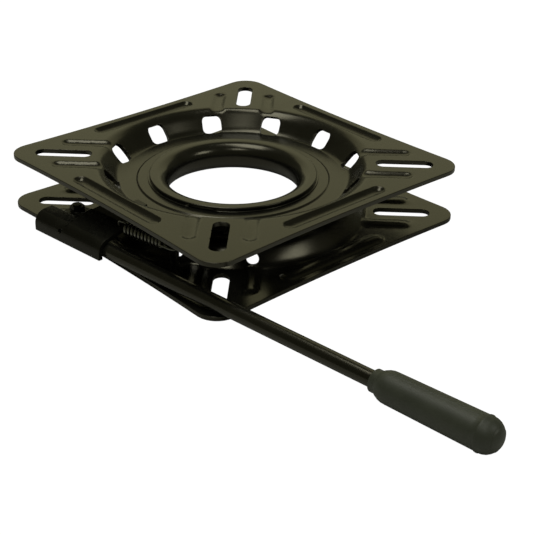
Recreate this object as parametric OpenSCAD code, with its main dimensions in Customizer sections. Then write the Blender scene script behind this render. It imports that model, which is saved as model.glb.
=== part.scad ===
// Locking swivel for a caravan or camper seat: two pressed plates, back to back,
// turn on a ring of balls round a flared centre sleeve. A spring-loaded hand lever
// on the lower plate drops its tooth into one of the windows in the upper dish.
// The origin is on the swivel axis at the underside. The plates' corners lie on
// the X and Y axes, so the bolt slots run along X and Y.

/* [Plates] */
// Length of a side of each plate, at its corners
plate_side = 178; // [170:0.5:190]
// Height from the underside to the seat face
overall_h = 31.75; // [30.5:0.05:34]
// Thickness of the pressed sheet
sheet_t = 2.5; // [2:0.1:2.8]
// Radius of the plate's corners in plan
corner_r = 12; // [9:0.5:18]
// How far each side bows inwards at its middle
side_bow = 1.7; // [0.5:0.1:2.5]

/* [Dish] */
// Depth of the dish below the flange
dish_depth = 11; // [10.4:0.1:11.2]
// Radius of the dish at half its depth
dish_mid_r = 68; // [67:0.1:69]
// Angle between the dish wall and the flange
wall_angle = 50; // [46:1:54]
// Inner radius of the bend from flange to wall
rim_bend_r = 3; // [2.5:0.1:3.5]
// Inner radius of the bend from wall to floor
foot_bend_r = 4; // [3:0.1:4.5]
// Height of the raised race band in the floor
race_rise = 0.7; // [0.5:0.05:0.9]

/* [Windows] */
// Number of lock windows round the dish
window_count = 12; // [6:6:12]
// Width of a window
window_w = 11.3; // [10.8:0.1:12]
// Depth of a window's upper edge below the flange
window_top = 2.8; // [2.5:0.1:3.2]
// Height of a window's sill above the dish floor
window_sill = 0.2; // [0.1:0.05:0.5]
// Corner radius of a window
window_corner_r = 3.2; // [1:0.1:3.6]
// Diameter of the larger hole in the lower dish wall
wall_hole_d = 6.6; // [5:0.1:7]
// Angle of the larger hole, from the X axis
wall_hole_at = 282.4; // [278:0.1:287]
// Diameter of the smaller hole in the lower dish wall
pin_hole_d = 3; // [2.4:0.1:4]
// Angle of the smaller hole, from the X axis
pin_hole_at = 251; // [247:0.5:256]

/* [Bolt slots] */
// Distance between the centres of opposite slots
slot_spacing = 186.8; // [184:0.1:188]
// Overall length of a slot
slot_l = 31; // [28:0.5:32]
// Width of a slot
slot_w = 8.5; // [8:0.1:9.5]

/* [Stiffening beads] */
// Distance from the axis to the long beads
long_bead_offset = 79.3; // [78.8:0.1:80]
// Overall length of a long bead
long_bead_l = 70; // [60:1:72]
// Width of a long bead
long_bead_w = 8; // [7:0.1:8.6]
// Depth of a long bead
long_bead_depth = 2; // [1.5:0.1:2.2]
// Distance from a diagonal to the short beads beside its slot
short_bead_side = 14.8; // [14:0.1:15.4]
// Radius at which a short bead ends near the corner
short_bead_end = 97; // [93:0.5:98]
// Width of a short bead
short_bead_w = 7; // [6:0.1:7.4]
// Depth of a short bead
short_bead_depth = 1.4; // [1:0.1:1.7]

/* [Ball bearing] */
// Radius of the ball circle
race_r = 48.6; // [48.2:0.1:49]
// Diameter of a ball
ball_d = 6.35; // [6.2:0.05:6.5]
// Number of balls
ball_count = 24; // [12:2:30]
// Width of the race band
band_w = 7.6; // [7:0.1:8]
// Thickness of the ball cage
cage_t = 1.6; // [1.2:0.1:2.2]
// Width of the ball cage
cage_w = 10.4; // [9.6:0.1:11]

/* [Centre sleeve] */
// Radius of the open bore
bore_r = 35.5; // [34.5:0.1:36.5]
// Wall of the sleeve
sleeve_t = 1.8; // [1.5:0.1:2]
// Radius of the flare at each mouth of the bore
flare_r = 7.2; // [6.6:0.1:7.4]
// Outer radius of the sleeve's flanges
flange_r = 46; // [45:0.1:46.5]
// Thickness of the wear rings
wear_t = 0.6; // [0.4:0.05:0.9]
// How far the wear rings show past the flanges
wear_show = 0.9; // [0.5:0.1:1.2]
// Opening between the ends of a split wear ring
wear_gap_angle = 17.5; // [10:0.5:25]

/* [Lever] */
// Angle of the lever below the X axis
lever_angle = 39.75; // [38:0.25:41]
// Distance from the axis to the lever rod
rod_offset = 89.4; // [89:0.1:91]
// Height of the rod's centre
rod_z = 7.8; // [7.5:0.1:8.2]
// Diameter of the rod
rod_d = 8; // [7:0.1:8.4]
// Place of the rod's inner end along the lever
rod_start = -20; // [-22:1:-14]
// Place of the rod's outer end along the lever
rod_end = 230; // [200:1:236]
// Thickness of the folded bracket
bracket_t = 2.5; // [2:0.1:2.8]
// Place of the bracket's left end along the lever
bracket_start = -54; // [-56:0.5:-53]
// Place of the bracket's right end along the lever
bracket_end = -2.6; // [-4:0.1:-1]
// Height of the skirt's lower edge
skirt_z = 4; // [3.6:0.1:6]
// Rise of the lock arm out of the folded crest
arm_angle = 12.5; // [8:0.5:15]

/* [Lock tooth] */
// Width of the tooth
tooth_w = 8.2; // [7.5:0.1:8.4]
// Height of the tooth's underside
tooth_z = 22.5; // [22:0.1:23]
// Radius at which the tooth ends inside the dish
tooth_tip_r = 62.4; // [61.5:0.1:63.5]
// Angle of the locked window, from the X axis
tooth_angle = 225; // [225:30:225]

/* [Pivot] */
// Place of the pivot along the lever
pivot_u = -48; // [-49:0.5:-46]
// Distance from the axis line to the pivot, across the lever
pivot_v = 71.6; // [71:0.1:73]
// Diameter of the pivot's shoulder
pivot_d = 6.5; // [6:0.1:8]
// Thickness of the spacer below the bracket
spacer_t = 2.6; // [2.5:0.1:2.9]
// Diameter of the pivot's thread
thread_d = 4.5; // [4:0.1:5.5]
// Width across the flats of the pivot nut
nut_af = 7; // [6.8:0.1:9]
// Height of the pivot nut
nut_h = 3.2; // [3:0.1:4.5]
// Radius of the bracket's ear round the pivot
ear_r = 8; // [7:0.1:9]

/* [Return spring] */
// Diameter of the spring wire
wire_d = 1.6; // [1.2:0.1:1.7]
// Outer diameter of the coil
coil_d = 7.4; // [7:0.1:8]
// Number of turns
coil_turns = 10; // [8:1:14]
// Height of the spring's axis
spring_z = 16.6; // [16.2:0.1:17.2]
// Diameter of the post that holds the spring's far end
post_d = 5; // [4:0.1:6]

/* [Grip] */
// Place of the grip's neck along the lever
grip_start = 171; // [150:0.5:172]
// Overall length of the grip
grip_l = 66; // [60:1:80]
// Radius of the grip behind its neck
grip_r = 7.7; // [6.5:0.1:8]
// Radius of the grip at its far end
grip_end_r = 8.35; // [8:0.05:9]
// Radius of the neck collar
collar_r = 5.5; // [5.2:0.1:6]
// Length of the neck collar
collar_l = 3.6; // [3:0.1:5]

/* [Hidden] */
$fn = 96;
mid_z = overall_h / 2;
running_gap = 0.1;
bore_play = 0.1;
plan_reach = 2 * plate_side;
side_chord = plate_side - 2 * corner_r;
bow_r = (side_chord * side_chord / 4 + side_bow * side_bow) / (2 * side_bow);

// Dish section: the wall's line meets the flange and the floor at these radii
wall_run = dish_depth / 2 / tan(wall_angle);
rim_outer_bend_r = rim_bend_r + sheet_t;
rim_r = dish_mid_r + wall_run + rim_outer_bend_r * tan(wall_angle / 2);
foot_r = dish_mid_r - wall_run - foot_bend_r * tan(wall_angle / 2);
band_outer_r = race_r + band_w / 2;
bend_steps = 5;
fold_steps = 16;
plate_hole_r = bore_r + flare_r + 0.5;
ball_groove_r = ball_d / 2 + running_gap;

// Heights of the sleeve's flanges and wear rings above the middle plane
floor_face = overall_h / 2 - dish_depth;
band_face = floor_face + race_rise;
wear_face = band_face + running_gap;
flange_face = wear_face + wear_t;
flange_top = flange_face + sleeve_t;
wear_ring_r = flange_r + wear_show;
cage_hole_d = ball_d + 0.3;

// Bracket section round the rod
fold_in = rod_d / 2 + bore_play;
fold_out = fold_in + bracket_t;
web_z = sheet_t + spacer_t;
crest_z = rod_z + fold_out;
pivot_part_end = pivot_u + 17;
top_bend_r = 1.6;
web_bend_r = 1.5;
pocket_r = 5;
dimple_along = 14;
arm_top = rod_offset - dish_mid_r - 2.9;
arm_knee = arm_top - 5;
tooth_top = tooth_z + bracket_t;
hook_u = bracket_end - 3.8;
hook_v = arm_top - 7.3;
hook_hole_d = wire_d + 1.2;

// Pivot stack
shoulder_top = web_z + bracket_t + running_gap;
washer_t = 1;
nut_z = shoulder_top + washer_t;
foot_h = 1.5;
post_foot_h = 1;
foot_reach = 0.01;

// Spring from the bracket's hook hole to its post, in plan
spring_from = lever_point(hook_u, rod_offset - hook_v);
post_at = [-24.1, -78];
post_groove_h = wire_d + 0.6;
post_top = spring_z + 3;
spring_span = post_at - spring_from;
spring_len = norm(spring_span);
spring_dir = atan2(spring_span[1], spring_span[0]);
coil_mean_r = (coil_d - wire_d) / 2;
hook_bend_r = 1.4;
hook_run = 6;
hook_tip = -3.6;
post_hook_r = post_d / 2 - 0.7 + wire_d / 2 + 0.1;
wire_sides = 6;
turn_steps = 12;
hook_steps = 9;

// Plan point from a place along the lever and a distance across it
function lever_point(u, v) = [
    u * cos(lever_angle) - v * sin(lever_angle),
    -u * sin(lever_angle) - v * cos(lever_angle)];

// Turns a shape drawn along the lever to its place, rod line at y = 0
module along_lever() {
    rotate([0, 0, -lever_angle])
    translate([0, -rod_offset, 0])
    children();
}

// Outline of a plate: a square with round corners and slightly hollow sides
module plate_outline() {
    inset = plate_side / 2 - corner_r;
    difference() {
        union() {
            square([plate_side, 2 * inset], center = true);
            square([2 * inset, plate_side], center = true);
            for (x = [-inset, inset], y = [-inset, inset])
                translate([x, y]) circle(r = corner_r);
        }
        for (a = [0:90:270])
            rotate(a)
            translate([plate_side / 2 - side_bow + bow_r, 0])
            circle(r = bow_r, $fn = 720);
    }
}

// Points along an arc
function arc_points(centre, radius, from_angle, to_angle, steps = bend_steps) = [
    for (i = [0:steps])
    let(a = from_angle + (to_angle - from_angle) * i / steps)
    centre + radius * [cos(a), sin(a)]];

// Section of the pressing: flange, rim bend, wall, foot bend, floor and race band
module dish_section() {
    rim_centre = [rim_r, -rim_outer_bend_r];
    foot_centre = [foot_r, foot_bend_r - dish_depth];
    band_face_y = race_rise - dish_depth;
    band_edge_r = band_outer_r + race_rise;
    polygon(concat(
        [[plan_reach, 0]],
        arc_points(rim_centre, rim_outer_bend_r, 90, 90 + wall_angle),
        arc_points(foot_centre, foot_bend_r, wall_angle - 90, -90),
        [[band_edge_r, -dish_depth], [band_outer_r, band_face_y],
            [plate_hole_r, band_face_y], [plate_hole_r, band_face_y - sheet_t],
            [band_outer_r, band_face_y - sheet_t], [band_edge_r, -dish_depth - sheet_t]],
        arc_points(foot_centre, foot_bend_r + sheet_t, -90, wall_angle - 90),
        arc_points(rim_centre, rim_bend_r, 90 + wall_angle, 90),
        [[plan_reach, -sheet_t]]));
}

// A straight rod with ball ends, from -length / 2 to length / 2 along x
module ball_ended_rod(length, radius) {
    rotate([0, 90, 0])
    rotate_extrude()
    intersection() {
        union() {
            square([2 * radius, length], center = true);
            for (side = [-1, 1])
                translate([0, side * length / 2]) circle(r = radius);
        }
        translate([0, -length]) square([radius, 2 * length]);
    }
}

// Places a bead's rod so that it presses the given groove into the face at z = 0
module bead_rod(length, width, depth, wall) {
    groove_r = (width * width / 4 + depth * depth) / (2 * depth);
    translate([0, 0, groove_r - depth])
    ball_ended_rod(length - width, groove_r + wall);
}

// Repeats the long beads at the sides and the short beads beside the slots
module bead_pattern(wall) {
    short_start = rim_r - 2;
    short_l = short_bead_end - short_start;
    for (a = [45:90:315])
        rotate([0, 0, a])
        translate([long_bead_offset, 0, 0])
        rotate([0, 0, 90])
        bead_rod(long_bead_l, long_bead_w, long_bead_depth, wall);
    for (a = [0:90:270], side = [-1, 1])
        rotate([0, 0, a])
        translate([short_start + short_l / 2, side * short_bead_side, 0])
        bead_rod(short_l, short_bead_w, short_bead_depth, wall);
}

// One lock window, cut level through the dish wall
module window_cut() {
    low = -dish_depth + window_sill;
    high = -window_top;
    inset_w = window_w / 2 - window_corner_r;
    rotate([90, 0, 90])
    translate([0, 0, foot_r - 4])
    linear_extrude(rim_r - 1.1 - foot_r + 4)
    union() {
        translate([-window_w / 2, low + window_corner_r])
            square([window_w, high - low - 2 * window_corner_r]);
        translate([-inset_w, low])
            square([2 * inset_w, high - low]);
        for (x = [-inset_w, inset_w], y = [low + window_corner_r, high - window_corner_r])
            translate([x, y]) circle(r = window_corner_r);
    }
}

// One bolt slot with round ends, its length pointing at the axis
module slot_cut() {
    half = (slot_l - slot_w) / 2;
    translate([slot_spacing / 2, 0, -2 * sheet_t])
    linear_extrude(3 * sheet_t)
    union() {
        square([2 * half, slot_w], center = true);
        for (x = [-half, half])
            translate([x, 0]) circle(d = slot_w);
    }
}

// The pressing, its flange face at z = 0 and its dish hanging below
module pressing(windows) {
    difference() {
        union() {
            difference() {
                intersection() {
                    rotate_extrude() dish_section();
                    rotate([0, 0, 45])
                    translate([0, 0, -2 * dish_depth])
                    linear_extrude(3 * dish_depth)
                    plate_outline();
                }
                for (i = [0:windows - 1])
                    rotate([0, 0, 15 + i * 360 / windows]) window_cut();
            }
            intersection() {
                bead_pattern(sheet_t);
                translate([0, 0, -dish_depth])
                difference() {
                    cylinder(r = plate_side, h = dish_depth - sheet_t / 2);
                    translate([0, 0, -1])
                        cylinder(r = rim_r - 0.8, h = 2 * dish_depth);
                }
            }
        }
        bead_pattern(0);
        for (a = [0:90:270])
            rotate([0, 0, a]) slot_cut();
        translate([0, 0, mid_z - overall_h])
        rotate_extrude()
        translate([race_r, 0]) circle(r = ball_groove_r);
    }
}

// Upper pressing, which carries the seat
module seat_plate() {
    color("#2b2b28")
    translate([0, 0, overall_h]) pressing(window_count);
}

// A round hole square through the wall of the lower dish
module wall_hole_cut(at, diameter) {
    rotate([0, 0, at])
    translate([dish_mid_r, 0, dish_depth / 2])
    rotate([0, wall_angle, 0])
    cylinder(d = diameter, h = 4 * sheet_t, center = true);
}

// Lower pressing, turned over, without windows, with holes for the pivot stud, the
// spring post and two small holes in its wall
module base_plate() {
    color("#262624")
    difference() {
        rotate([180, 0, 0]) pressing(0);
        translate([0, 0, -sheet_t]) {
            translate(lever_point(pivot_u, pivot_v))
                cylinder(d = pivot_d, h = 3 * sheet_t);
            translate(post_at)
                cylinder(d = post_d, h = 3 * sheet_t);
        }
        wall_hole_cut(wall_hole_at, wall_hole_d);
        wall_hole_cut(pin_hole_at, pin_hole_d);
        translate(lever_point(pivot_u, pivot_v)) stud_rivet();
        translate(post_at) post_rivet();
    }
}

// Flared sleeve that holds both plates together round the open bore
module centre_sleeve() {
    neck = flange_top - flare_r;
    color("#2e2e2b")
    translate([0, 0, mid_z])
    rotate_extrude()
    union() {
        translate([bore_r, -neck]) square([sleeve_t, 2 * neck]);
        for (side = [-1, 1])
            scale([1, side])
            translate([bore_r + flare_r, neck]) {
                intersection() {
                    difference() {
                        circle(r = flare_r);
                        circle(r = flare_r - sleeve_t);
                    }
                    translate([-flare_r, 0]) square(flare_r);
                }
                translate([0, flare_r - sleeve_t])
                    square([flange_r - bore_r - flare_r, sleeve_t]);
            }
    }
}

// Thin split ring between a sleeve flange and a race band
module split_ring() {
    half = wear_gap_angle / 2;
    inner = bore_r + flare_r;
    rotate([0, 0, 252.5 + half])
    rotate_extrude(angle = 360 - wear_gap_angle)
    translate([inner, 0]) square([wear_ring_r - inner, wear_t]);
}

// Wear ring under the upper flange
module upper_wear_ring() {
    color("#3a3a36")
    translate([0, 0, mid_z + wear_face]) split_ring();
}

// Wear ring over the lower flange
module lower_wear_ring() {
    color("#3a3a36")
    translate([0, 0, mid_z - wear_face - wear_t]) split_ring();
}

// Flat cage that spaces the balls
module ball_cage() {
    color("#8f8a78")
    translate([0, 0, mid_z - cage_t / 2])
    difference() {
        cylinder(r = race_r + cage_w / 2, h = cage_t);
        translate([0, 0, -cage_t])
            cylinder(r = race_r - cage_w / 2, h = 3 * cage_t);
        for (i = [0:ball_count - 1])
            rotate([0, 0, i * 360 / ball_count])
            translate([race_r, 0, -cage_t])
            cylinder(d = cage_hole_d, h = 3 * cage_t);
    }
}

// The ring of balls
module bearing_balls() {
    color("silver")
    for (i = [0:ball_count - 1])
        rotate([0, 0, i * 360 / ball_count])
        translate([race_r, 0, mid_z])
        sphere(d = ball_d, $fn = 48);
}

// Section of the bracket at its pivot end: skirt, round crest, flat top over the rod,
// crisp inner bend, inner leg and web
module pivot_part_section() {
    fold_centre = [0, rod_z];
    foot_centre = [fold_out + web_bend_r, web_z + bracket_t + web_bend_r];
    web_to = foot_centre[0] + 2;
    polygon(concat(
        [[-fold_out, skirt_z]],
        arc_points(fold_centre, fold_out, 180, 90, fold_steps / 2),
        arc_points([fold_out - top_bend_r, crest_z - top_bend_r], top_bend_r, 90, 0),
        arc_points(foot_centre, web_bend_r, 180, 270),
        [[web_to, web_z + bracket_t], [web_to, web_z]],
        arc_points(foot_centre, web_bend_r + bracket_t, 270, 180),
        [[fold_in, rod_z + fold_in]],
        arc_points(fold_centre, fold_in, 90, 180, fold_steps / 2),
        [[-fold_in, skirt_z]]));
}

// Section of the bracket at its lock end: skirt, fold, rising arm, joggle and tooth
module lock_part_section() {
    fold_centre = [0, rod_z];
    rise = [cos(arm_angle), sin(arm_angle)];
    up = [-sin(arm_angle), cos(arm_angle)];
    knee = (arm_knee + fold_out * sin(arm_angle)) / cos(arm_angle);
    knee_high = fold_centre + fold_out * up + knee * rise;
    knee_low = fold_centre + fold_in * up + (knee + 1.2) * rise;
    polygon(concat(
        [[-fold_out, skirt_z]],
        arc_points(fold_centre, fold_out, 180, 90 + arm_angle, fold_steps / 2),
        [knee_high, [arm_top - 1.4, tooth_top], [rod_offset, tooth_top],
            [rod_offset, tooth_z], [arm_top, tooth_z], knee_low],
        arc_points(fold_centre, fold_in, 90 + arm_angle, 180, fold_steps / 2),
        [[-fold_in, skirt_z]]));
}

// Plan of the lock arm: it narrows from the bracket to the tooth
module lock_arm_plan() {
    window_from_lever = tooth_angle + lever_angle;
    polygon([[bracket_start, -2 * fold_out], [bracket_end, -2 * fold_out],
        [bracket_end, arm_top], [hook_u - 8.5, arm_top],
        [pivot_part_end + 1, arm_knee], [bracket_start, arm_knee]]);
    translate([0, rod_offset])
    rotate(window_from_lever)
    translate([tooth_tip_r, -tooth_w / 2])
    square([rod_offset - arm_knee - tooth_tip_r, tooth_w]);
}

// Plan of the rounded corner between the flat top and the arm, beside the pivot nut
module pocket_corner() {
    centre = [pivot_part_end - pocket_r, fold_out + pocket_r];
    polygon(concat(
        arc_points(centre, pocket_r, -90, 0),
        [[pivot_part_end + 0.5, fold_out + pocket_r],
            [pivot_part_end + 0.5, fold_out - 0.6],
            [pivot_part_end - pocket_r, fold_out - 0.6]]));
}

// Folded bracket with the pivot ear at one end and the lock tooth at the other
module lever_bracket() {
    ear = [pivot_u, rod_offset - pivot_v];
    web_from = fold_out + web_bend_r;
    color("#1f1f1d")
    along_lever()
    difference() {
        union() {
            translate([bracket_start, 0, 0])
            rotate([90, 0, 90])
            linear_extrude(pivot_part_end - bracket_start)
            pivot_part_section();
            intersection() {
                translate([pivot_part_end, 0, 0])
                rotate([90, 0, 90])
                linear_extrude(bracket_end + 8 - pivot_part_end)
                lock_part_section();
                linear_extrude(2 * overall_h) lock_arm_plan();
            }
            intersection() {
                translate([pivot_part_end - pocket_r, 0, 0])
                rotate([90, 0, 90])
                linear_extrude(pocket_r + 1)
                lock_part_section();
                linear_extrude(2 * overall_h) pocket_corner();
            }
            translate([0, 0, web_z])
            linear_extrude(bracket_t)
            union() {
                translate(ear) circle(r = ear_r);
                polygon([[bracket_start, web_from], [pivot_part_end, web_from],
                    [pivot_part_end, web_from + 2], [ear[0] + ear_r, ear[1]],
                    [ear[0], ear[1] - 1], [bracket_start, web_from + 3]]);
            }
        }
        translate([ear[0], ear[1], 0])
            cylinder(d = pivot_d + bore_play, h = overall_h);
        translate([hook_u, hook_v, crest_z - bracket_t])
            cylinder(d = hook_hole_d, h = 3 * bracket_t);
        translate([pivot_u + dimple_along, -fold_out - 1, skirt_z + 6])
        rotate([-90, 0, 0])
            cylinder(d = 2.4, h = 3);
    }
}

// Round steel rod of the lever
module lever_rod() {
    color("#1c1c1b")
    along_lever()
    translate([rod_start, 0, rod_z])
    rotate([0, 90, 0])
    cylinder(d = rod_d, h = rod_end - rod_start);
}

// Moulded grip with a stepped neck and a domed end
module lever_grip() {
    shoulder = 5;
    ring_h = 0.45;
    dome_from = grip_l - grip_end_r;
    color("#3b3d36")
    along_lever()
    translate([grip_start, 0, rod_z])
    rotate([0, 90, 0])
    difference() {
        union() {
            cylinder(r = collar_r, h = collar_l + 1);
            translate([0, 0, collar_l])
                cylinder(r1 = collar_r + 0.4, r2 = grip_r, h = shoulder);
            translate([0, 0, collar_l + shoulder])
                cylinder(r1 = grip_r, r2 = grip_end_r, h = dome_from - collar_l - shoulder);
            translate([0, 0, dome_from - ring_h])
                cylinder(r = grip_end_r + ring_h, h = 2 * ring_h);
            translate([0, 0, dome_from])
            intersection() {
                sphere(r = grip_end_r);
                cylinder(r = 2 * grip_end_r, h = 2 * grip_end_r);
            }
        }
        translate([0, 0, -1])
            cylinder(d = rod_d, h = rod_end - grip_start + 1);
    }
}

// Room for the flush head at the foot of the pivot stud
module stud_rivet() {
    translate([0, 0, -foot_reach])
    cylinder(d1 = pivot_d + 2 * (foot_h + foot_reach), d2 = pivot_d, h = foot_h + foot_reach);
}

// Shouldered stud that the bracket turns on
module pivot_stud() {
    color("#20201e")
    translate(lever_point(pivot_u, pivot_v)) {
        cylinder(d1 = pivot_d + 2 * foot_h, d2 = pivot_d, h = foot_h);
        cylinder(d = pivot_d, h = shoulder_top);
        cylinder(d = thread_d, h = nut_z + nut_h + 1);
    }
}

// Spacer between the lower plate and the bracket's web
module pivot_spacer() {
    color("#20201e")
    translate(lever_point(pivot_u, pivot_v))
    translate([0, 0, sheet_t])
    difference() {
        cylinder(d = pivot_d + 2, h = spacer_t);
        translate([0, 0, -1]) cylinder(d = pivot_d, h = spacer_t + 2);
    }
}

// Washer under the nut, resting on the stud's shoulder
module pivot_washer() {
    color("#20201e")
    translate(lever_point(pivot_u, pivot_v))
    translate([0, 0, shoulder_top])
    difference() {
        cylinder(d = pivot_d + 3, h = washer_t);
        translate([0, 0, -1]) cylinder(d = thread_d, h = washer_t + 2);
    }
}

// Hexagon nut on the stud
module pivot_nut() {
    color("#20201e")
    translate(lever_point(pivot_u, pivot_v))
    translate([0, 0, nut_z])
    difference() {
        intersection() {
            rotate([0, 0, 12]) cylinder(d = nut_af / cos(30), h = nut_h, $fn = 6);
            union() {
                cylinder(r1 = nut_af / 2 + 0.2, r2 = nut_af, h = nut_af / 2);
                translate([0, 0, nut_h]) mirror([0, 0, 1])
                    cylinder(r1 = nut_af / 2 + 0.2, r2 = nut_af, h = nut_af / 2);
            }
        }
        translate([0, 0, -1]) cylinder(d = thread_d, h = nut_h + 2);
    }
}

// Room for the flush head at the foot of the spring post
module post_rivet() {
    translate([0, 0, -foot_reach])
    cylinder(d1 = post_d + 2 * (post_foot_h + foot_reach), d2 = post_d,
        h = post_foot_h + foot_reach);
}

// Grooved post for the spring's far end
module spring_post() {
    color("#20201e")
    translate(post_at)
    difference() {
        union() {
            cylinder(d1 = post_d + 2 * post_foot_h, d2 = post_d, h = post_foot_h);
            cylinder(d = post_d, h = post_top - 0.6);
            translate([0, 0, sheet_t]) cylinder(d = post_d + 3, h = 1);
            translate([0, 0, post_top - 0.6])
                cylinder(d1 = post_d, d2 = post_d - 1.2, h = 0.6);
        }
        translate([0, 0, spring_z - post_groove_h / 2])
        difference() {
            cylinder(d = post_d + 1, h = post_groove_h);
            translate([0, 0, -1])
                cylinder(d = post_d - 1.4, h = post_groove_h + 2);
        }
    }
}

// Centre line of the spring, along x from the bracket's hole to the post, in three
// parts, and for each point the direction that its cross section is squared to
near_hook = concat([[0, 0, hook_tip]],
    [for (i = [0:4]) let(a = 180 - i * 22.5)
        [hook_bend_r * (1 + cos(a)), 0, coil_mean_r - hook_bend_r * (1 - sin(a))]]);
coil_end = spring_len - post_hook_r - 4.4;
coil_steps = (coil_turns + 0.25) * turn_steps;
coil_path = [for (i = [0:coil_steps])
    let(f = i / coil_steps, a = 90 + 360 * i / turn_steps)
    [hook_run + (coil_end - hook_run) * f, coil_mean_r * cos(a), coil_mean_r * sin(a)]];
far_hook = [for (i = [0:hook_steps]) let(a = i * 250 / hook_steps - 90)
    [spring_len + post_hook_r * cos(a), post_hook_r * sin(a), 0]];
spring_path = concat(near_hook, coil_path, far_hook);
spring_square = concat(
    [for (p = near_hook) [0, 1, 0]], [for (p = coil_path) [1, 0, 0]],
    [for (p = far_hook) [0, 0, 1]]);

// Round wire swept along a list of points, as one closed surface
module wire_sweep(path, square_to, radius) {
    last = len(path) - 1;
    way = [for (i = [0:last])
        let(d = path[min(i + 1, last)] - path[max(i - 1, 0)]) d / norm(d)];
    side = [for (i = [0:last])
        let(c = cross(way[i], square_to[i])) c / norm(c)];
    points = [for (i = [0:last], k = [0:wire_sides - 1])
        let(a = k * 360 / wire_sides, b = cross(way[i], side[i]))
        path[i] + radius * (cos(a) * side[i] + sin(a) * b)];
    faces = concat(
        [[for (k = [0:wire_sides - 1]) k]],
        [for (i = [0:last - 1], k = [0:wire_sides - 1])
            let(a = i * wire_sides + k, b = i * wire_sides + (k + 1) % wire_sides)
            [a, a + wire_sides, b + wire_sides, b]],
        [[for (k = [wire_sides - 1:-1:0]) last * wire_sides + k]]);
    polyhedron(points, faces);
}

// Tension spring that pulls the tooth into its window
module return_spring() {
    color("#8d8f88")
    translate([spring_from[0], spring_from[1], spring_z])
    rotate([0, 0, spring_dir])
    wire_sweep(spring_path, spring_square, wire_d / 2);
}

seat_plate();
base_plate();
centre_sleeve();
upper_wear_ring();
lower_wear_ring();
ball_cage();
bearing_balls();
lever_bracket();
lever_rod();
lever_grip();
pivot_stud();
pivot_spacer();
pivot_washer();
pivot_nut();
spring_post();
return_spring();
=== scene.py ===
# %% [markdown]
# # A locking seat swivel in black paint
# Two pressed plates lie back to back and turn on a ring of balls. A hand lever with
# a plastic grip works the lock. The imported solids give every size. This script gives
# the real surfaces: rolled edges, gloss paint, a moulded grip and a zinc spring.

# %% Load the frame
import bpy, bmesh, math
from mathutils import Matrix, Vector


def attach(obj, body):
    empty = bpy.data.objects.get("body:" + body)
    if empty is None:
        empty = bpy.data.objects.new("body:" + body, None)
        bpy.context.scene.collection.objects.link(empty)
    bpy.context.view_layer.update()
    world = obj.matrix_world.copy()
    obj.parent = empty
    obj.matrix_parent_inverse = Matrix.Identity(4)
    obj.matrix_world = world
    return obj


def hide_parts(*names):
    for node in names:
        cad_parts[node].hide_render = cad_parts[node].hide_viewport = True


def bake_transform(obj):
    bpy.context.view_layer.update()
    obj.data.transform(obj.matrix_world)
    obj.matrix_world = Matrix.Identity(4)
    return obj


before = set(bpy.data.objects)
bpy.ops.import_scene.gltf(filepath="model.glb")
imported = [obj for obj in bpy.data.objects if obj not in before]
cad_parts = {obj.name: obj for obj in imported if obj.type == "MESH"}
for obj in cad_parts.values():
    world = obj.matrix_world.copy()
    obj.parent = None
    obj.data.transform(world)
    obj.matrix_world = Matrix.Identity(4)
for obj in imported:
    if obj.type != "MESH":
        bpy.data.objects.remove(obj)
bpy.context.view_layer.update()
MM = 0.001
HEIGHT = 31.75 * MM
MID_MM = 31.75 / 2

# %% [markdown]
# Every new piece is a mesh whose place is in its points, so its object stays at the
# origin. Two small helpers turn a finished bmesh into such an object and shade it
# smoothly, with the flat faces kept flat by weighted normals.

# %% Helpers for finished pieces
def piece_from(bm, name, body, replaces=(), smooth=True, weighted=True):
    for face in bm.faces:
        face.smooth = smooth
    mesh = bpy.data.meshes.new(name)
    bm.to_mesh(mesh)
    bm.free()
    piece = bpy.data.objects.new(name, mesh)
    bpy.context.scene.collection.objects.link(piece)
    if body:
        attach(piece, body)
    if replaces:
        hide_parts(*replaces)
    if weighted:
        flat_first = piece.modifiers.new("flat faces first", "WEIGHTED_NORMAL")
        flat_first.weight = 80
        flat_first.keep_sharp = True
    print(name, len(mesh.polygons), "faces")
    return piece


def spun_ring(points_mm, steps=128, angle=math.tau, start=0.0):
    bm = bmesh.new()
    turn = Matrix.Rotation(start, 4, "Z")
    verts = [bm.verts.new(turn @ Vector((r * MM, 0, z * MM))) for r, z in points_mm]
    edges = [bm.edges.new((a, b)) for a, b in zip(verts, verts[1:] + verts[:1])]
    full = abs(angle - math.tau) < 1e-6
    bmesh.ops.spin(bm, geom=verts + edges, cent=(0, 0, 0), axis=(0, 0, 1),
                   angle=angle, steps=steps, use_merge=full, use_duplicate=False)
    if not full:
        bmesh.ops.holes_fill(bm, edges=[e for e in bm.edges if e.is_boundary], sides=0)
    bmesh.ops.recalc_face_normals(bm, faces=bm.faces[:])
    return bm


def arc_mm(cx, cy, r, a0, a1, n):
    return [(cx + r * math.cos(math.radians(a0 + (a1 - a0) * i / n)),
             cy + r * math.sin(math.radians(a0 + (a1 - a0) * i / n))) for i in range(n + 1)]


# %% [markdown]
# The bracket is cut and folded sheet. Its solid has the right form with
# knife-sharp edges. A copy is merged, its coplanar triangles are joined,
# and every sharp edge gets a small rolled bevel, as pressing and paint leave it.

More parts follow.
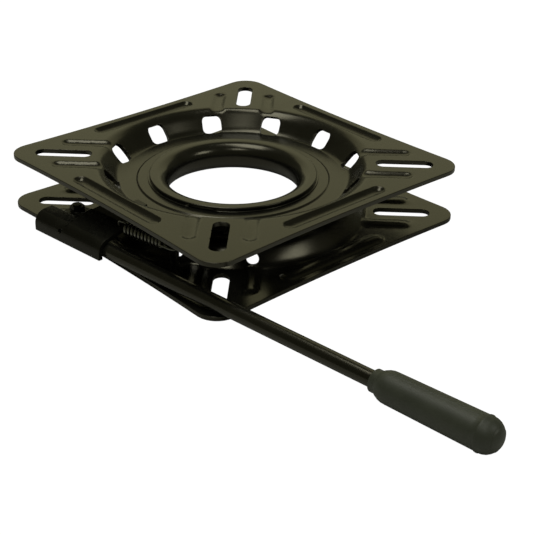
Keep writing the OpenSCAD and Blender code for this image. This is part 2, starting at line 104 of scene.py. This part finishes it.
# %% Roll the edges of a sheet part
def rolled_copy(node, radius_mm, sharp_deg=40, segments=2):
    bm = bmesh.new()
    bm.from_mesh(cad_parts[node].data)
    bmesh.ops.remove_doubles(bm, verts=bm.verts[:], dist=2e-6)
    bmesh.ops.dissolve_degenerate(bm, edges=bm.edges[:], dist=5e-5)
    bmesh.ops.dissolve_limit(bm, angle_limit=math.radians(0.6), use_dissolve_boundaries=False,
                             verts=bm.verts[:], edges=bm.edges[:])
    sharp = [e for e in bm.edges if e.is_manifold
             and e.calc_face_angle(0) > math.radians(sharp_deg)]
    bmesh.ops.bevel(bm, geom=sharp, offset=radius_mm * MM, offset_type="OFFSET",
                    segments=segments, profile=0.5, affect="EDGES",
                    clamp_overlap=False, material=-1)
    print(node, "sharp edges rolled:", len(sharp))
    return bm


# %% [markdown]
# Each plate is pressed from flat sheet. A flat disc of rings is drawn out to the
# square outline, refined where an edge will come, and its slots, windows and holes
# are cut. Then both faces get their height from the pressing's own form: flange,
# soft rim, wall, foot, race band and beads. The lower one is the same turned over.

# %% Sizes of the pressing in millimetres
BORE_R, RIM_FLAT_R, SHEET = 43.2, 77.0, 2.5
DISH_MID_R, DISH_DEEP, WALL_TAN = 68.0, 11.0, math.tan(math.radians(50))
CORNER_INSET, CORNER_R = 77.0, 12.0
CORNER_AT = CORNER_INSET * math.sqrt(2)
BOW_AT, BOW_R = 1832.0, 1744.7
SLOT_AT, SLOT_HALF, SLOT_R = 93.4, 11.25, 4.25
WINDOW_AT, WINDOW_HALF_L, WINDOW_HALF_W, WINDOW_CORNER = 66.35, 3.95, 5.65, 2.9
LONG_AT, LONG_HALF, LONG_W, LONG_R, LONG_Z = 79.3, 31.0, 8.0, 5.0, 3.0
SHORT_SIDE, SHORT_END, SHORT_W, SHORT_R, SHORT_Z = 14.8, 93.5, 7.0, 5.07, 3.67
WALL_DROP, WALL_SHIFT = 3.89, 1.915
BAND_EDGE_R, BAND_RISE = 53.2, 0.7
RING_STEPS = 336


def ease(t):
    t = min(max(t, 0.0), 1.0)
    return t * t * (3 - 2 * t)


def smooth_min(a, b, k):
    h = max(k - abs(a - b), 0.0) / k
    return min(a, b) - h * h * k / 4


def smooth_max(a, b, k):
    return -smooth_min(-a, -b, k)


def rounded_box(x, y, half_x, half_y, r):
    qx, qy = abs(x) - half_x + r, abs(y) - half_y + r
    return math.hypot(max(qx, 0), max(qy, 0)) + min(max(qx, qy), 0) - r


# %% Plan of the pressing
def fold(x, y, step_deg, first_deg=0.0):
    turn, far = math.degrees(math.atan2(y, x)) - first_deg, math.hypot(x, y)
    off = math.radians(turn - round(turn / step_deg) * step_deg)
    return far * math.cos(off), far * math.sin(off)


def outline_r(turn):
    gamma = abs((turn + math.pi / 4) % (math.pi / 2) - math.pi / 4)
    beta = math.pi / 4 - gamma
    reach = BOW_AT * math.cos(beta)
    side = reach - math.sqrt(reach * reach - (BOW_AT ** 2 - BOW_R ** 2))
    if side * math.sin(beta) <= CORNER_INSET:
        return side
    offset = CORNER_AT * math.sin(gamma)
    return CORNER_AT * math.cos(gamma) + math.sqrt(CORNER_R ** 2 - offset ** 2)


def cut_distance(x, y, windows, holes):
    along, across = fold(x, y, 90)
    near = rounded_box(along - SLOT_AT, across, SLOT_HALF + SLOT_R, SLOT_R, SLOT_R)
    if windows:
        out, wide = fold(x, y, 30, 15)
        near = min(near, rounded_box(out - WINDOW_AT, wide, WINDOW_HALF_L, WINDOW_HALF_W,
                                     WINDOW_CORNER))
    for hx, hy, r, squeeze in holes:
        turn = math.atan2(hy, hx)
        out = (x - hx) * math.cos(turn) + (y - hy) * math.sin(turn)
        wide = -(x - hx) * math.sin(turn) + (y - hy) * math.cos(turn)
        near = min(near, math.hypot(out / squeeze, wide) - r)
    return near


def bead_places(x, y):
    n, q = fold(x, y, 90, 45)
    long_bead = math.hypot(n - LONG_AT, max(abs(q) - LONG_HALF, 0.0))
    along, across = fold(x, y, 90)
    short_bead = math.hypot(max(along - SHORT_END, 0.0), abs(across) - SHORT_SIDE)
    return long_bead, short_bead, along, across


# %% Height of the pressing's two faces
def groove(far, radius, middle_z):
    near = min(far, radius * 0.97)
    return middle_z - math.sqrt(radius * radius - near * near) + (far - near) * 3


def face_height(x, y, under):
    r = math.hypot(x, y)
    long_bead, short_bead, along, across = bead_places(x, y)
    pad = ease((13.0 - abs(across)) / 4.0)
    rim = 4.5 - 2.6 * pad
    wall = (r - DISH_MID_R) * WALL_TAN - DISH_DEEP / 2
    floor_z = -DISH_DEEP + BAND_RISE * ease((BAND_EDGE_R - r) / 0.9)
    if under:
        flange_z, wall, rim = -SHEET, wall - WALL_DROP, max(rim - 1.4, 0.8)
        floor_z -= SHEET
    else:
        flange_z = 0.0
    z = smooth_max(smooth_min(flange_z, wall, rim), floor_z, 3.6 if under else 2.2)
    more = SHEET if under else 0.0
    if long_bead < 9:
        z = smooth_min(z, groove(long_bead, LONG_R + more, LONG_Z), 0.35)
    widen = 0.7 * ease((80 - along) / 12)
    far = max(short_bead - widen, 0.0)
    if along > 60 and far < 9:
        z = smooth_min(z, groove(far, SHORT_R + more, SHORT_Z), 1.1)
    return max(z, floor_z)


# %% Press one plate
def pressed_plate(windows=(), holes=(), rivets=()):
    bm = bmesh.new()
    radii = [BORE_R, 43.8, 45.5, 47.5, 50.0, 52.0, 52.3, 52.75, 53.2, 53.6, 55.0, 57.0, 58.6]
    radii += [59.6 + 0.7 * i for i in range(25)] + [RIM_FLAT_R + 10 * i / 16 for i in range(17)]
    verts = [bm.verts.new((r, 0, 0)) for r in radii]
    edges = [bm.edges.new(pair) for pair in zip(verts, verts[1:])]
    bmesh.ops.spin(bm, geom=verts + edges, cent=(0, 0, 0), axis=(0, 0, 1), angle=math.tau,
                   steps=RING_STEPS, use_merge=True, use_duplicate=False)
    for vert in bm.verts:
        r = vert.co.xy.length
        if r > RIM_FLAT_R:
            turn = math.atan2(vert.co.y, vert.co.x)
            drawn = RIM_FLAT_R + (r - RIM_FLAT_R) / 10 * (outline_r(turn) - RIM_FLAT_R)
            vert.co.xy *= drawn / r

    def near_edge(co, cut, bead):
        long_bead, short_bead, along, across = bead_places(co.x, co.y)
        short_edge = abs(short_bead - SHORT_W / 2) if along > 66 else 9
        beads = min(abs(long_bead - LONG_W / 2), short_edge)
        return abs(cut_distance(co.x, co.y, windows, holes)) < cut or beads < bead

    for cut, bead in ((4.0, 2.2), (1.3, 0.7)):
        chosen = [e for e in bm.edges if near_edge((e.verts[0].co + e.verts[1].co) / 2, cut, bead)
                  and e.calc_length() > 0.5]
        bmesh.ops.subdivide_edges(bm, edges=chosen, cuts=1, use_grid_fill=True)

    gone = []
    for face in bm.faces:
        middle = face.calc_center_median()
        if cut_distance(middle.x, middle.y, windows, holes) < 0:
            gone.append(face)
    bmesh.ops.delete(bm, geom=gone, context="FACES")

    def to_outline(vert):
        for _ in range(4):
            x, y = vert.co.x, vert.co.y
            d = cut_distance(x, y, windows, holes)
            gx = (cut_distance(x + 0.01, y, windows, holes) - d) / 0.01
            gy = (cut_distance(x, y + 0.01, windows, holes) - d) / 0.01
            size = max(math.hypot(gx, gy), 0.3)
            vert.co.xy -= Vector((gx, gy)) * d / size ** 2

    for vert in bm.verts:
        if vert.is_boundary and abs(cut_distance(vert.co.x, vert.co.y, windows, holes)) < 1.6:
            to_outline(vert)
    bmesh.ops.remove_doubles(bm, verts=bm.verts[:], dist=0.06)
    for _ in range(4):
        loose = [v for v in bm.verts if not v.is_boundary
                 and cut_distance(v.co.x, v.co.y, windows, holes) < 1.8]
        bmesh.ops.smooth_vert(bm, verts=loose, factor=0.5, use_axis_x=True, use_axis_y=True)

    plan = bm.faces[:]
    copied = bmesh.ops.extrude_face_region(bm, geom=plan, use_keep_orig=True)
    under = [v for v in copied["geom"] if isinstance(v, bmesh.types.BMVert)]
    below = set(under)
    for vert in bm.verts:
        x, y = vert.co.x, vert.co.y
        if vert not in below:
            vert.co.z = face_height(x, y, False)
            continue
        r = math.hypot(x, y)
        out = 1 + WALL_SHIFT * ease((r - 59.5) / 5) * ease((78 - r) / 7) / r
        vert.co = Vector((x * out, y * out, face_height(x * out, y * out, True)))
        for hx, hy, head, shank in rivets:
            way = Vector((x - hx, y - hy))
            if way.length < head + 3:
                pull = (head - shank) * (1 - (way.length - head) / 3)
                vert.co.xy -= way.normalized() * pull
    bmesh.ops.recalc_face_normals(bm, faces=bm.faces[:])
    rims = [e for e in bm.edges if e.is_manifold and e.calc_face_angle(0) > math.radians(52)]
    bmesh.ops.bevel(bm, geom=rims, offset=0.3, offset_type="OFFSET", segments=2, profile=0.5,
                    affect="EDGES", clamp_overlap=False, material=-1)
    bmesh.ops.scale(bm, vec=(MM, MM, MM), verts=bm.verts[:])
    print("pressed:", len(bm.faces), "faces,", len(rims), "edges rolled")
    return bm


# %% Upper plate
bm = pressed_plate(windows=True)
bmesh.ops.translate(bm, verts=bm.verts[:], vec=(0, 0, HEIGHT))
upper_pressing = piece_from(bm, "upper_pressing", "seat", ["seat_plate"])


# %% Lower plate, turned over, with its stud, post and small wall holes
def on_wall(turn_deg, r=68.0):
    a = math.radians(turn_deg)
    return r * math.cos(a), r * math.sin(a)


STUD, POST = (-82.688, 24.356, 4.78, 3.3), (-24.1, 78.0, 3.53, 2.55)
lower_holes = [(*on_wall(77.6), 3.3, 0.643), (*on_wall(109.0), 1.5, 0.643),
               (STUD[0], STUD[1], STUD[2], 1.0), (POST[0], POST[1], POST[2], 1.0)]
bm = pressed_plate(windows=False, holes=lower_holes, rivets=[STUD, POST])
bmesh.ops.rotate(bm, verts=bm.verts[:], cent=(0, 0, 0), matrix=Matrix.Rotation(math.pi, 3, "X"))
lower_pressing = piece_from(bm, "lower_pressing", "base", ["base_plate"])

# %% Folded bracket
folded_bracket = piece_from(rolled_copy("lever_bracket", 0.3), "folded_bracket", "lever",
                            ["lever_bracket"])

# %% [markdown]
# Paint: black gloss over steel. One shader node group gives fine orange peel and
# a little dust, and each finish places it with its own values.

# %% Shared surface group
def surface_group():
    group = bpy.data.node_groups.new("peel_and_dust", "ShaderNodeTree")
    face = group.interface
    face.new_socket("Vector", in_out="INPUT", socket_type="NodeSocketVector")
    for name, value in (("Peel Scale", 900.0), ("Dust Scale", 60.0), ("Dust Amount", 0.4)):
        face.new_socket(name, in_out="INPUT", socket_type="NodeSocketFloat").default_value = value
    face.new_socket("Height", in_out="OUTPUT", socket_type="NodeSocketFloat")
    face.new_socket("Dust", in_out="OUTPUT", socket_type="NodeSocketFloat")
    nodes, links = group.nodes, group.links
    inp, out = nodes.new("NodeGroupInput"), nodes.new("NodeGroupOutput")
    peel = nodes.new("ShaderNodeTexNoise")
    peel.inputs["Detail"].default_value = 3
    links.new(inp.outputs["Vector"], peel.inputs["Vector"])
    links.new(inp.outputs["Peel Scale"], peel.inputs["Scale"])
    dust = nodes.new("ShaderNodeTexNoise")
    dust.inputs["Detail"].default_value = 8
    dust.inputs["Roughness"].default_value = 0.65
    links.new(inp.outputs["Vector"], dust.inputs["Vector"])
    links.new(inp.outputs["Dust Scale"], dust.inputs["Scale"])
    ramp = nodes.new("ShaderNodeMapRange")
    ramp.inputs["From Min"].default_value = 0.45
    ramp.inputs["From Max"].default_value = 0.75
    links.new(dust.outputs["Fac"], ramp.inputs["Value"])
    times = nodes.new("ShaderNodeMath")
    times.operation = "MULTIPLY"
    links.new(ramp.outputs["Result"], times.inputs[0])
    links.new(inp.outputs["Dust Amount"], times.inputs[1])
    links.new(peel.outputs["Fac"], out.inputs["Height"])
    links.new(times.outputs["Value"], out.inputs["Dust"])
    return group


PEEL_AND_DUST = surface_group()


def finish_material(name, colour, dusty, roughness, rough_dust, metallic=0.0, coat=0.0,
                    peel=900, dust=60, amount=0.4, bump=0.05, bump_mm=0.05, glint=(1, 1, 1),
                    shine=0.5):
    mat = bpy.data.materials.new(name)
    mat.use_nodes = True
    nodes, links = mat.node_tree.nodes, mat.node_tree.links
    shader = nodes["Principled BSDF"]
    place = nodes.new("ShaderNodeTexCoord")
    group = nodes.new("ShaderNodeGroup")
    group.node_tree = PEEL_AND_DUST
    links.new(place.outputs["Object"], group.inputs["Vector"])
    group.inputs["Peel Scale"].default_value = peel
    group.inputs["Dust Scale"].default_value = dust
    group.inputs["Dust Amount"].default_value = amount
    mix = nodes.new("ShaderNodeMix")
    mix.data_type = "RGBA"
    mix.inputs["A"].default_value = (*colour, 1)
    mix.inputs["B"].default_value = (*dusty, 1)
    links.new(group.outputs["Dust"], mix.inputs["Factor"])
    links.new(mix.outputs["Result"], shader.inputs["Base Color"])
    rough = nodes.new("ShaderNodeMapRange")
    rough.inputs["To Min"].default_value = roughness
    rough.inputs["To Max"].default_value = rough_dust
    links.new(group.outputs["Dust"], rough.inputs["Value"])
    links.new(rough.outputs["Result"], shader.inputs["Roughness"])
    relief = nodes.new("ShaderNodeBump")
    relief.inputs["Strength"].default_value = bump
    relief.inputs["Distance"].default_value = bump_mm * MM
    links.new(group.outputs["Height"], relief.inputs["Height"])
    links.new(relief.outputs["Normal"], shader.inputs["Normal"])
    shader.inputs["Metallic"].default_value = metallic
    shader.inputs["Specular Tint"].default_value = (*glint, 1)
    shader.inputs["Specular IOR Level"].default_value = shine
    if coat:
        shader.inputs["Coat Weight"].default_value = coat
        shader.inputs["Coat Roughness"].default_value = 0.08
    return mat


# %% Finishes of the swivel
OLIVE = (1.0, 0.95, 0.74)
black_paint = finish_material("black_gloss_paint", (0.006, 0.006, 0.005), (0.02, 0.02, 0.017),
                              0.22, 0.36, peel=700, amount=0.35, bump=0.12, bump_mm=0.04, glint=OLIVE)
bracket_paint = finish_material("bracket_paint", (0.006, 0.006, 0.005), (0.02, 0.02, 0.017),
                                0.26, 0.4, peel=600, amount=0.4, bump=0.15, glint=OLIVE, shine=0.2)
sleeve_paint = finish_material("sleeve_paint", (0.007, 0.007, 0.006), (0.02, 0.02, 0.017),
                               0.2, 0.35, peel=900, amount=0.3, bump=0.08, glint=OLIVE)
grip_plastic = finish_material("grip_plastic", (0.037, 0.042, 0.031), (0.072, 0.08, 0.06),
                               0.5, 0.62, peel=2600, amount=0.5, bump=0.35, bump_mm=0.06)
zinc_wire = finish_material("zinc_wire", (0.22, 0.22, 0.2), (0.13, 0.13, 0.11),
                            0.28, 0.45, metallic=1.0, peel=1500, bump=0.2)
ball_steel = finish_material("ball_steel", (0.6, 0.6, 0.6), (0.4, 0.4, 0.38),
                             0.12, 0.25, metallic=1.0, bump=0.02)
cage_steel = finish_material("cage_steel", (0.4, 0.37, 0.3), (0.25, 0.22, 0.17),
                             0.35, 0.5, metallic=1.0, bump=0.1)


def dress(piece, mat):
    piece.data.materials.clear()
    piece.data.materials.append(mat)


for piece in (upper_pressing, lower_pressing):
    dress(piece, black_paint)
dress(folded_bracket, bracket_paint)

# %% [markdown]
# The centre sleeve is a flared spool. Spinning its section round the axis gives a
# true round form with rolled lips.

# %% Centre sleeve and wear rings
def sleeve_section():
    inner, wall, flare, reach, face = 35.5, 1.8, 7.2, 46.0, 8.075
    neck = face - flare
    upper = [(inner, 0)] + arc_mm(inner + flare, neck, flare, 180, 90, 10)
    upper += [(reach - 0.6, face)] + arc_mm(reach - 0.6, face - 0.6, 0.6, 80, 0, 4)
    upper += [(reach, face - wall)]
    upper += arc_mm(inner + flare, neck, flare - wall, 90, 180, 8)
    upper += [(inner + wall, 0)]
    lower = [(r, -z) for r, z in upper[::-1]][1:-1]
    return [(r, z + MID_MM) for r, z in upper + lower]


flared_sleeve = piece_from(spun_ring(sleeve_section(), 160), "flared_sleeve", "base",
                           ["centre_sleeve"])
dress(flared_sleeve, sleeve_paint)


def ring_section(low, thick=0.6, inner=42.7, outer=46.9):
    return [(inner, low), (outer - 0.2, low), (outer, low + 0.2), (outer, low + thick - 0.2),
            (outer - 0.2, low + thick), (inner, low + thick)]


gap = math.radians(17.5)
start = math.radians(252.5) + gap / 2
for name, node, low in (("upper_ring", "upper_wear_ring", 21.55), ("lower_ring", "lower_wear_ring", 9.6)):
    ring = piece_from(spun_ring(ring_section(low), 120, math.tau - gap, start), name, "base",
                      [node])
    dress(ring, sleeve_paint)

# %% [markdown]
# The grip is a moulded sleeve: a thin collar, a stepped shoulder, a body that
# swells slowly and a domed end with a shallow ring. One spin makes it all.

# %% Lever frame and grip
LEVER_TURN = math.radians(39.75)
ROD_AT = Vector((0, -89.4, 7.8)) * MM
LEVER = Matrix.Rotation(-LEVER_TURN, 4, "Z") @ Matrix.Translation(ROD_AT)
ALONG = LEVER @ Matrix.Rotation(math.radians(90), 4, "Y")


GRIP_FROM, GRIP_LONG = 171.0, 66.0


def grip_section():
    body_end = GRIP_LONG - 7.6
    pts = [(4.0, 0), (5.1, 0), (5.5, 0.4), (5.5, 3.0), (5.8, 3.5)]
    pts += [(6.4, 4.4), (7.2, 6.2), (7.6, 7.8)]
    pts += [(7.7 + 0.6 * (z - 8.6) / (body_end - 8.6), z) for z in (10, 16, 24, 32, 40, 48, 54)]
    pts += [(8.3, body_end - 1.6), (8.6, body_end - 1.3), (8.65, body_end - 0.7), (8.35, body_end)]
    pts += [(8.35 * math.cos(math.radians(a)), body_end + 7.6 * math.sin(math.radians(a)))
            for a in (12, 24, 36, 44)]
    pts += [(5.6, body_end + 5.55), (5.5, body_end + 5.9), (5.0, body_end + 6.2)]
    pts += [(4.0, body_end + 6.75), (2.9, body_end + 7.2), (1.5, body_end + 7.5), (0.0, GRIP_LONG)]
    return pts


bm = bmesh.new()
verts = [bm.verts.new((r * MM, 0, (GRIP_FROM + z) * MM)) for r, z in grip_section()]
edges = [bm.edges.new(pair) for pair in zip(verts, verts[1:])]
bmesh.ops.spin(bm, geom=verts + edges, cent=(0, 0, 0), axis=(0, 0, 1), angle=math.tau,
               steps=144, use_merge=True, use_duplicate=False)
bmesh.ops.remove_doubles(bm, verts=bm.verts[:], dist=1e-6)
bmesh.ops.recalc_face_normals(bm, faces=bm.faces[:])

# %% Two fine mould lines along the grip
for vert in bm.verts:
    along = vert.co.z / MM - GRIP_FROM
    around = round(math.degrees(math.atan2(vert.co.y, vert.co.x)) / 2.5) * 2.5 % 180
    if 8 < along < 54.5 and around in (172.5, 2.5):
        vert.co.xy *= 1.028
bmesh.ops.transform(bm, matrix=ALONG, verts=bm.verts[:])
grip = piece_from(bm, "moulded_grip", "lever", ["lever_grip"], weighted=False)
dress(grip, grip_plastic)

# %% [markdown]
# The return spring is one round wire: a hook down through the bracket's hole, a
# close coil and an open hook round its post.

# %% Return spring
WIRE_R, COIL_R, POST_R = 0.8, 2.9, 2.7
SPRING_Z = 16.6


def lever_place(along, across):
    cos_a, sin_a = math.cos(LEVER_TURN), math.sin(LEVER_TURN)
    return Vector((along * cos_a - across * sin_a,
                   -along * sin_a - across * cos_a, SPRING_Z)) * MM


hook_place = lever_place(-6.4, 78.2)
post_place = Vector((-24.1, -78.0, SPRING_Z)) * MM
span = (post_place - hook_place).length / MM


def spring_line():
    pts = [(0, 0, -3.6), (0, 0, -1.0)]
    pts += [(1.4 * (1 + math.cos(math.radians(a))), 0,
             COIL_R - 1.4 * (1 - math.sin(math.radians(a)))) for a in range(180, 89, -15)]
    last, steps = span - POST_R - 4.4, 246
    for i in range(steps + 1):
        a = math.radians(90 + 15 * i)
        pts.append((6 + (last - 6) * i / steps, COIL_R * math.cos(a), COIL_R * math.sin(a)))
    pts += [(span + POST_R * math.cos(math.radians(a)), POST_R * math.sin(math.radians(a)), 0)
            for a in range(-90, 161, 10)]
    return pts


wire = bpy.data.curves.new("spring_wire", "CURVE")
wire.dimensions = "3D"
wire.bevel_depth = WIRE_R * MM
wire.bevel_resolution = 3
wire.use_fill_caps = True
wire.twist_mode = "MINIMUM"
line_pts = spring_line()
line = wire.splines.new("POLY")
line.points.add(len(line_pts) - 1)
for point, (x, y, z) in zip(line.points, line_pts):
    point.co = (x * MM, y * MM, z * MM, 1)
wire_obj = bpy.data.objects.new("spring_wire", wire)
swept = bpy.data.meshes.new_from_object(wire_obj)
bpy.data.objects.remove(wire_obj)
bm = bmesh.new()
bm.from_mesh(swept)
bpy.data.meshes.remove(swept)
bmesh.ops.remove_doubles(bm, verts=bm.verts[:], dist=1e-6)
bmesh.ops.recalc_face_normals(bm, faces=bm.faces[:])
heading = (post_place - hook_place).to_track_quat("X", "Z").to_matrix().to_4x4()
bmesh.ops.transform(bm, matrix=Matrix.Translation(hook_place) @ heading, verts=bm.verts[:])
spring = piece_from(bm, "zinc_spring", None, ["return_spring"], weighted=False)
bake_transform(spring)
dress(spring, zinc_wire)

# %% CAD nodes that keep their form
for node in ("lever_rod", "pivot_stud", "pivot_spacer", "pivot_washer", "pivot_nut", "spring_post"):
    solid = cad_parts[node]
    for paint_slot in solid.material_slots:
        paint_slot.material = black_paint
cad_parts["ball_cage"].material_slots[0].material = cage_steel
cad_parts["bearing_balls"].material_slots[0].material = ball_steel

# %% [markdown]
# A plain white studio. The floor and the backdrop look white to the camera; glossy paint
# sees the lit floor and a dim warm sky, and the floor still takes a soft shadow.

# %% Floor
def studio_white(name, keep_shadow):
    mat = bpy.data.materials.new(name)
    mat.use_nodes = True
    nodes, links = mat.node_tree.nodes, mat.node_tree.links
    out = nodes["Material Output"]
    shader = nodes["Principled BSDF"]
    shader.inputs["Base Color"].default_value = (0.65, 0.65, 0.65, 1)
    shader.inputs["Roughness"].default_value = 0.9
    shine = nodes.new("ShaderNodeEmission")
    shine.inputs["Strength"].default_value = 1.12
    path = nodes.new("ShaderNodeLightPath")
    share = nodes.new("ShaderNodeMath")
    share.operation = "MULTIPLY"
    share.inputs[1].default_value = 1.0 - keep_shadow
    mix = nodes.new("ShaderNodeMixShader")
    links.new(path.outputs["Is Camera Ray"], share.inputs[0])
    links.new(share.outputs["Value"], mix.inputs["Fac"])
    links.new(shader.outputs["BSDF"], mix.inputs[1])
    links.new(shine.outputs["Emission"], mix.inputs[2])
    links.new(mix.outputs["Shader"], out.inputs["Surface"])
    return mat


bm = bmesh.new()
bmesh.ops.create_grid(bm, x_segments=2, y_segments=2, size=3.0)
bmesh.ops.translate(bm, verts=bm.verts[:], vec=(0, 0, -0.0002))
floor_mesh = bpy.data.meshes.new("studio_floor")
bm.to_mesh(floor_mesh)
bm.free()
floor = bpy.data.objects.new("studio_floor", floor_mesh)
bpy.context.scene.collection.objects.link(floor)
dress(floor, studio_white("floor_white", 0.1))

# %% World
world = bpy.data.worlds.new("studio_world")
bpy.context.scene.world = world
world.use_nodes = True
wn, wl = world.node_tree.nodes, world.node_tree.links
sky = wn["Background"]
sky.inputs["Color"].default_value = (0.55, 0.54, 0.32, 1)
sky.inputs["Strength"].default_value = 0.16
white = wn.new("ShaderNodeBackground")
white.inputs["Color"].default_value = (1, 1, 1, 1)
path = wn.new("ShaderNodeLightPath")
mix = wn.new("ShaderNodeMixShader")
wl.new(path.outputs["Is Camera Ray"], mix.inputs["Fac"])
wl.new(sky.outputs["Background"], mix.inputs[1])
wl.new(white.outputs["Background"], mix.inputs[2])
wl.new(mix.outputs["Shader"], wn["World Output"].inputs["Surface"])

# %% Lamps
def soft_box(name, place, size, power, colour, aim=(0, 0, 0.02)):
    lamp = bpy.data.lights.new(name, "AREA")
    lamp.shape = "RECTANGLE"
    lamp.size, lamp.size_y = size
    lamp.energy = power
    lamp.color = colour
    obj = bpy.data.objects.new(name, lamp)
    bpy.context.scene.collection.objects.link(obj)
    obj.location = place
    toward = Vector(aim) - Vector(place)
    obj.rotation_euler = toward.to_track_quat("-Z", "Y").to_euler()
    return obj


soft_box("back_soft_box", (0.0, 1.6, 0.9), (2.2, 1.0), 3.6, (1.0, 0.96, 0.58))
soft_box("top_soft_box", (-0.3, 0.1, 1.5), (0.9, 0.6), 8, (1.0, 1.0, 0.9))
soft_box("side_soft_box", (1.05, -0.5, 1.0), (0.5, 0.4), 2.6, (1.0, 1.0, 0.9))
soft_box("front_soft_box", (-0.1, -0.85, 1.15), (0.4, 0.22), 1.6, (1.0, 1.0, 0.9))

# %% [markdown]
# The camera was solved from the plate edges in the photograph.

# %% Camera
camera = bpy.data.cameras.new("photo_camera")
camera.sensor_width = 36.0
camera.lens = 88.47
eye = bpy.data.objects.new("photo_camera", camera)
bpy.context.scene.collection.objects.link(eye)
place = Vector((0.04716, -0.65840, 0.32337))
target = Vector((0.02481, -0.12334, 0.03175))
back = (place - target).normalized()
right = Vector((0, 0, 1)).cross(back).normalized()
up = back.cross(right)
roll = math.radians(0.875)
right_r = right * math.cos(roll) + up * math.sin(roll)
up_r = -right * math.sin(roll) + up * math.cos(roll)
turn = Matrix((right_r, up_r, back)).transposed().to_4x4()
eye.matrix_world = Matrix.Translation(place) @ turn
bpy.context.scene.camera = eye
bpy.context.scene.view_settings.view_transform = "Standard"
